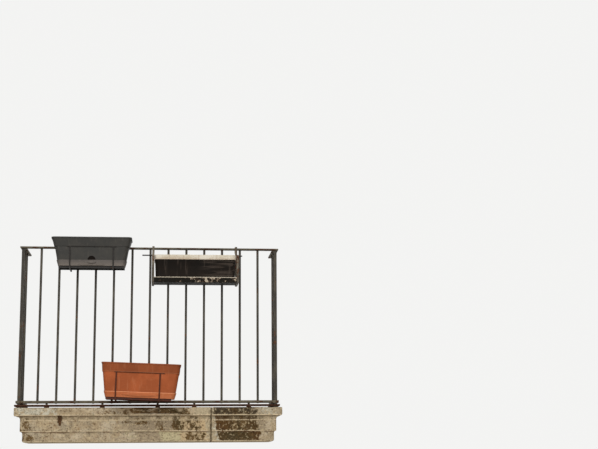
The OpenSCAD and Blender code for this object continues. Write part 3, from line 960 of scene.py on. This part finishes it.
@dataclass
class Railing:
    """The railing's flat bars, square bars, posts and lead."""

    painted: tuple[str, ...] = ("corner_post_left", "corner_post_right", "front_bars", "left_bars",
                                "right_bars")
    # The rails, whose paler paint is partly dust and partly painted sky light.
    dusty: tuple[str, ...] = ("top_rail_front", "top_rail_left", "top_rail_right", "bottom_rail_front",
                              "bottom_rail_left", "bottom_rail_right", "rail_spacers")
    rusted: tuple[str, ...] = ("sill_bar_front", "sill_bar_left", "sill_bar_right", "sill_packers")

    def build(self) -> None:
        """Dresses every solid of the railing."""
        paint = IronFinish("painted_iron", paint=srgb(50, 46, 39), worn=srgb(80, 74, 62),
                           rust_light=srgb(104, 70, 48), rust_dark=srgb(62, 42, 30), rusted=0.25)
        # Paler than the bars' paint: partly dust, partly painted sky light on the rails.
        grey = IronFinish("dusty_iron_with_painted_skylight", paint=srgb(76, 69, 55), worn=srgb(98, 90, 72), rusted=0.5,
                          rust_light=srgb(84, 56, 38), rust_dark=srgb(58, 40, 28), shift=13.0)
        rust = IronFinish("rusty_iron", paint=srgb(50, 38, 26), worn=srgb(66, 46, 31), rusted=0.8, dusty=0.3,
                          rust_light=srgb(78, 46, 30), rust_dark=srgb(38, 23, 15), shift=21.0)
        dress(paint.material(), *self.painted)
        dress(grey.material(), *self.dusty)
        dress(rust.material(), *self.rusted)
        dress(LeadFinish().material(), "post_leads")


@dataclass
class Soil:
    """The soil of one trough, with an uneven top and loose clods."""

    node: str
    seed: int
    voxel: float = 0.006
    unevenness: float = 0.006
    lump: float = 0.035
    side_gap: float = 0.0008
    clods: int = 110
    smallest: float = 0.003
    largest: float = 0.008
    jagged: float = 0.18
    margin: float = 0.016

    def strew(self, bm: Mesh) -> None:
        """Lays loose clods on the soil, clear of the trough's walls.

        Args:
            bm: The soil's mesh.
        """
        low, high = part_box(self.node)
        draw = random.Random(self.seed)
        tops = [v.co.copy() for v in bm.verts if v.normal.z > 0.9
                and low.x + self.margin < v.co.x < high.x - self.margin
                and low.y + self.margin < v.co.y < high.y - self.margin]
        for _ in range(self.clods):
            size = draw.uniform(self.smallest, self.largest)
            place = draw.choice(tops) + Vector((0, 0, size * 0.2))
            squash = Matrix.Diagonal((1, draw.uniform(0.6, 1), draw.uniform(0.5, 0.8), 1))
            turn = Matrix.Rotation(draw.uniform(0, math.tau), 4, "Z")
            made = bmesh.ops.create_icosphere(bm, subdivisions=1, radius=size,
                                              matrix=Matrix.Translation(place) @ turn @ squash)
            for v in made["verts"]:
                v.co += Vector([draw.uniform(-self.jagged, self.jagged) * size for _ in range(3)])

    def build(self, material: Material) -> None:
        """Makes the soil.

        Args:
            material: Its finish.
        """
        bm = remeshed(merged_copy(self.node), self.voxel)
        for v in bm.verts:
            if v.normal.z > 0.5:
                v.co.z += (cloud_at(v.co, self.lump, 5) - 0.6) * self.unevenness
            else:
                v.co -= v.normal * self.side_gap
        self.strew(bm)
        piece = new_piece(bm, f"{self.node}_crumbly", material)
        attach(piece, ROOT)
        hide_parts(self.node)


@dataclass
class Swelling:
    """A moulded swelling on the front of a tray, which runs out towards its ends."""

    tray: str
    name: str
    slot: str
    half_length: float
    half_height: float
    proud: float
    above_foot: float
    blunt: int = 2
    fullness: float = 0.6
    tilt_deg: float = 0.0
    bedded: float = 0.0008
    thickness: float = 0.0014

    def build(self) -> None:
        """Makes the swelling against the tray's wall, in the tray's own plastic."""
        low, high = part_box(self.tray)
        middle = (low.x + high.x) / 2
        slope = math.tan(math.radians(self.tilt_deg))
        centre = low.z + slope * (high.x - low.x) / 2 + self.above_foot
        tray = merged_copy(self.tray)
        wall = BVHTree.FromBMesh(tray)
        tray.free()
        bm = bmesh.new()
        bmesh.ops.create_grid(bm, x_segments=36, y_segments=10, size=1)
        for v in bm.verts:
            along, up, _ = v.co
            narrower = 1 - along ** self.blunt
            x = along * self.half_length
            z = centre + up * self.half_height * narrower - x * slope
            surface = wall.ray_cast(Vector((middle + x, low.y - 0.05, z)), Vector((0, 1, 0)))[0].y
            swell = self.proud * (narrower * (1 - up ** 2)) ** self.fullness
            v.co = (middle + x, surface + self.bedded - swell, z)
        bmesh.ops.remove_doubles(bm, verts=bm.verts, dist=MERGE_WITHIN)
        back = bmesh.ops.extrude_face_region(bm, geom=bm.faces[:], use_keep_orig=True)
        bmesh.ops.translate(bm, verts=[v for v in back["geom"] if isinstance(v, bmesh.types.BMVert)],
                            vec=(0, self.thickness, 0))
        bmesh.ops.recalc_face_normals(bm, faces=bm.faces)
        piece = new_piece(bm, self.name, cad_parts[self.tray].data.materials[0])
        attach(piece, ROOT)


@dataclass
class Troughs:
    """The three planting troughs, their soil and what holds them. The orange one hangs out of level."""

    tilt_deg: float = 2.2
    rim_height: float = 0.0655
    lip_height: float = 0.004
    pale_foot_darkening: float = 0.018

    def plastics(self) -> dict[str, PlasticFinish]:
        """Lists the plastic of each trough, tray and rim.

        Returns:
            The finishes by the names of their solids.
        """
        # The orange trough's rim band is darkened as painted shade, with a painted highlight at its foot.
        rim = Rim(middle_of("orange_trough").x, heights("orange_trough")[1] - self.rim_height, self.tilt_deg)
        tray_low, tray_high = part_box("orange_tray")
        sunk = (tray_high.x - tray_low.x) / 2 * math.tan(math.radians(self.tilt_deg))
        # The orange tray gets no shade, only a painted highlight along its upper edge.
        lip = Rim(middle_of("orange_tray").x, tray_high.z - sunk - self.lip_height, self.tilt_deg,
                  shade=srgb(255, 255, 255), edge=srgb(222, 150, 108), highlight_cover=0.7)
        pale_foot = heights("brown_trough_rim")[0]
        return {
            "grey_trough": PlasticFinish(
                "grey_plastic", fresh=srgb(50, 49, 46), faded=srgb(58, 56, 52), dust=srgb(88, 80, 75),
                streak=srgb(76, 72, 66), dusty=heights("grey_trough", topped_by="grey_tray")),
            "grey_tray": PlasticFinish(
                "grey_tray_plastic", fresh=srgb(80, 75, 71), faded=srgb(94, 88, 83), dust=srgb(122, 112, 103),
                streak=srgb(108, 100, 94), dusty=heights("grey_tray"), shift=3.0),
            # Very dark: the trough's dark brown plastic, darkened further as painted shade under its pale
            # rim.
            "brown_trough": PlasticFinish(
                "brown_plastic", fresh=srgb(15, 12, 9), faded=srgb(24, 19, 15), dust=srgb(40, 34, 29),
                streak=srgb(78, 68, 60), dusty=heights("brown_trough"), streaks=0.4, shift=6.0,
                specular=0.05, lined_from=middle_of("brown_trough").x),
            # The pale rim is darker over its lowest 18 mm.
            "brown_trough_rim": PlasticFinish(
                "pale_plastic", fresh=srgb(194, 184, 164), faded=srgb(208, 200, 184), dust=srgb(150, 122, 96),
                streak=srgb(150, 120, 94), dusty=(pale_foot, pale_foot + self.pale_foot_darkening), shift=9.0,
                specks=0.5),
            "orange_trough": PlasticFinish(
                "orange_plastic", fresh=srgb(146, 74, 38), faded=srgb(162, 84, 46), dust=srgb(172, 104, 66),
                streak=srgb(178, 112, 76), dusty=heights("orange_trough", topped_by="orange_tray"),
                streaks=0.3, shift=12.0, specular=0.15, rim=rim),
            "orange_tray": PlasticFinish(
                "orange_tray_plastic", fresh=srgb(164, 86, 46), faded=srgb(178, 96, 54),
                dust=srgb(184, 114, 74), streak=srgb(186, 120, 82), dusty=heights("orange_tray"),
                shift=15.0, rim=lip),
        }

    def swellings(self) -> tuple[Swelling, ...]:
        """Lists what is moulded on the fronts of the trays.

        Returns:
            The grip of the orange tray, and the boss and the foot lip of the grey one.
        """
        return (
            Swelling("orange_tray", "orange_tray_grip", "orange_plastic", half_length=0.122,
                     half_height=0.0155, proud=0.008, above_foot=0.0175, tilt_deg=self.tilt_deg),
            Swelling("grey_tray", "grey_tray_boss", "grey_plastic", half_length=0.030,
                     half_height=0.010, proud=0.008, above_foot=0.020),
            Swelling("grey_tray", "grey_tray_lip", "grey_plastic", half_length=0.083,
                     half_height=0.0040, proud=0.007, above_foot=0.0055, blunt=8),
        )

    def build(self) -> None:
        """Makes the soil and the swellings, and dresses the troughs and what holds them."""
        soil = SoilFinish().material()
        for seed, node in enumerate(("grey_soil", "brown_soil", "orange_soil")):
            Soil(node, seed).build(soil)
        for node, plastic in self.plastics().items():
            dress(plastic.material(), node)
        for swelling in self.swellings():
            swelling.build()
        dark_paint_and_slat_shade = IronFinish("dark_holder", paint=srgb(30, 28, 26), worn=srgb(46, 42, 38), rusted=0.1,
                             dusty=0.3, shift=31.0)
        red = IronFinish("red_brown_holder", paint=srgb(58, 26, 14), worn=srgb(78, 36, 20), rusted=0.2,
                         dusty=0.2, shift=37.0)
        rack = IronFinish("worn_rack", paint=srgb(70, 64, 54), worn=srgb(132, 122, 104), rusted=0.45,
                          shift=43.0)
        # The rack's slats take the holders' near-black paint as painted shade.
        dress(dark_paint_and_slat_shade.material(), "grey_holder", "rack_back_rod", "rack_slats", "orange_clamp")
        dress(red.material(), "orange_holder")
        dress(rack.material(), "rack_end_left", "rack_end_right", "clamp_bolts")
        dress(KerbFinish(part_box("rack_kerb")).material(), "rack_kerb")


@dataclass(frozen=True)
class Lamp:
    """A square soft lamp that points at the middle of the balcony."""

    name: str
    at: tuple[float, float, float]
    watts: float
    side: float = 3.0
    aim: tuple[float, float, float] = (0, -0.2, 0.5)

    def hang(self) -> None:
        """Adds the lamp to the scene."""
        data = bpy.data.lights.new(self.name, "AREA")
        data.shape = "SQUARE"
        data.size = self.side
        data.energy = self.watts
        lamp = put_in_scene(self.name, data)
        lamp.location = self.at
        lamp.rotation_euler = (Vector(self.aim) - Vector(self.at)).to_track_quat("-Z", "Y").to_euler()


@dataclass
class Studio:
    """The camera below the balcony, a pale floor, a pale background and soft light."""

    middle: float
    deck: float
    camera_right: float = 0.086
    camera_away: float = 8.454
    camera_below: float = 0.352
    yaw_deg: float = 6.11
    pitch_deg: float = 10.58
    roll_deg: float = -0.45
    lens: float = 77.0
    sensor: float = 36.0
    floor_z: float = -2.8
    floor_half: float = 30.0
    floor_colour: Colour = (0.62, 0.61, 0.59)
    floor_shade: Colour = (0.58, 0.57, 0.55)
    floor_glow: float = 0.5
    sky_colour: Colour = (0.90, 0.90, 0.89)
    fill: float = 0.30
    lamps: tuple[Lamp, ...] = (
        Lamp("key", (-2.0, -6.4, 4.8), 310.0),
        Lamp("front", (0.6, -7.5, 1.6), 208.0),
        Lamp("back", (2.5, 5.0, 4.5), 190.0),
    )

    def camera(self) -> None:
        """Places the camera."""
        data = bpy.data.cameras.new("camera")
        data.sensor_width = self.sensor
        data.lens = self.lens
        camera = put_in_scene("camera", data)
        place = Vector((self.middle + self.camera_right, -self.camera_away, self.deck - self.camera_below))
        turn = (Matrix.Rotation(-math.radians(self.yaw_deg), 4, "Z")
                @ Matrix.Rotation(math.radians(90 + self.pitch_deg), 4, "X")
                @ Matrix.Rotation(math.radians(self.roll_deg), 4, "Z"))
        camera.matrix_world = Matrix.Translation(place) @ turn
        bpy.context.scene.camera = camera

    def floor(self) -> None:
        """Lays the pale floor."""
        bm = bmesh.new()
        bmesh.ops.create_grid(bm, x_segments=1, y_segments=1, size=self.floor_half,
                              matrix=Matrix.Translation((0, 0, self.floor_z)))
        s = Surface("pale_floor", self.floor_colour, roughness=0.9, specular=0.2)
        s.coat(self.floor_shade, s.cloud(0.8, detail=3))
        s.feed(s.shader.inputs["Emission Color"], self.sky_colour)
        s.feed(s.shader.inputs["Emission Strength"], s.both(self.seen(s.tree), self.floor_glow))
        new_piece(bm, "floor", s.finish(), smooth=False)

    def seen(self, tree: bpy.types.NodeTree) -> Socket:
        """Tells what the camera sees, straight, in gloss or through glass, from what lights the balcony.

        Args:
            tree: The material's or the world's nodes.

        Returns:
            1 for what is seen and 0 for what gives light.
        """
        rays = tree.nodes.new("ShaderNodeLightPath")
        result = rays.outputs["Is Camera Ray"]
        for kind in ("Is Glossy Ray", "Is Transmission Ray"):
            larger = tree.nodes.new("ShaderNodeMath")
            larger.operation = "MAXIMUM"
            tree.links.new(result, larger.inputs[0])
            tree.links.new(rays.outputs[kind], larger.inputs[1])
            result = larger.outputs[0]
        return result

    def sky(self) -> None:
        """Sets the background, which is paler for the camera than the light that it gives."""
        world = bpy.data.worlds.new("studio")
        world.use_nodes = True
        bpy.context.scene.world = world
        tree = world.node_tree
        tree.nodes.clear()
        kinds = ("Background", "Background", "MixShader", "OutputWorld")
        shown, given, mix, out = (tree.nodes.new(f"ShaderNode{kind}") for kind in kinds)
        shown.inputs["Color"].default_value = (*self.sky_colour, 1)
        given.inputs["Color"].default_value = (1, 1, 1, 1)
        given.inputs["Strength"].default_value = self.fill
        tree.links.new(self.seen(tree), mix.inputs["Fac"])
        tree.links.new(given.outputs[0], mix.inputs[1])
        tree.links.new(shown.outputs[0], mix.inputs[2])
        tree.links.new(mix.outputs[0], out.inputs["Surface"])

    def build(self) -> None:
        """Sets up everything round the balcony."""
        bpy.context.scene.view_settings.view_transform = "Standard"
        self.camera()
        self.floor()
        self.sky()
        for lamp in self.lamps:
            lamp.hang()


def main() -> None:
    logging.basicConfig(level=logging.INFO, format="%(message)s")
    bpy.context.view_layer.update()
    stone_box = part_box("slab_left_stone")
    deck = stone_box[1].z
    left = middle_of("corner_post_left")
    right = middle_of("corner_post_right")
    middle = (left.x + right.x) / 2
    Studio(middle, deck).build()
    stone = StoneFinish(deck=deck, front=stone_box[0].y, middle=middle,
                        post_x=(right.x - left.x) / 2, rail_y=right.y)
    mortar = MortarFinish(middle_of("slab_mortar_joint").x)
    StoneSlab().build(stone.material(), mortar.material())
    Railing().build()
    Troughs().build()


if __name__ == "__main__":
    main()
